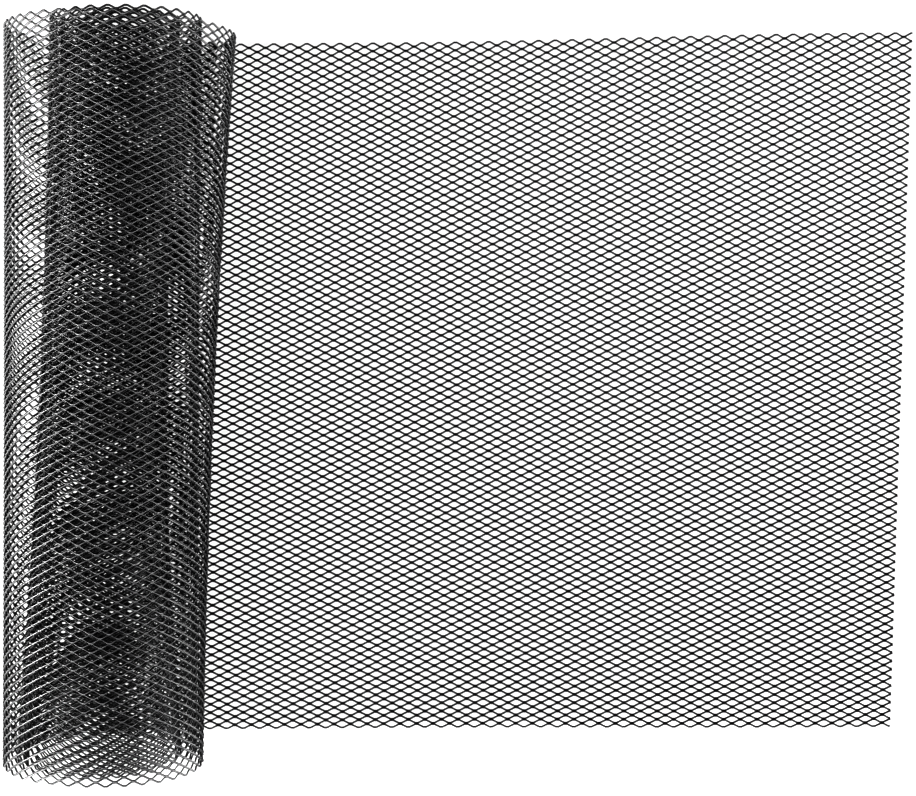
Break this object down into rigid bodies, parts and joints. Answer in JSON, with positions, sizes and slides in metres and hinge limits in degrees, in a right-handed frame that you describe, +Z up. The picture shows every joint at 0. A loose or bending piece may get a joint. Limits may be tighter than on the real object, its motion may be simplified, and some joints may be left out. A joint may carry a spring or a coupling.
{
  "type": "expanded mesh sheet",
  "caption": "Sheet of fine diamond expanded aluminium mesh for car grilles, wound into a loose roll at one end with a flat tail.",
  "frame": {"origin": "on the floor that the sheet lies on, below the middle of the whole piece", "axes": "+X along the tail from the roll to the free end, +Y along the roll's axis to its wider end, +Z up from the floor"},
  "size_m": [0.4232, 0.34, 0.1059],
  "materials": {
    "black_mesh": "satin"
  },
  "bodies": {
    "root": {"mesh_sheet": "black_mesh"}
  },
  "joints": []
}
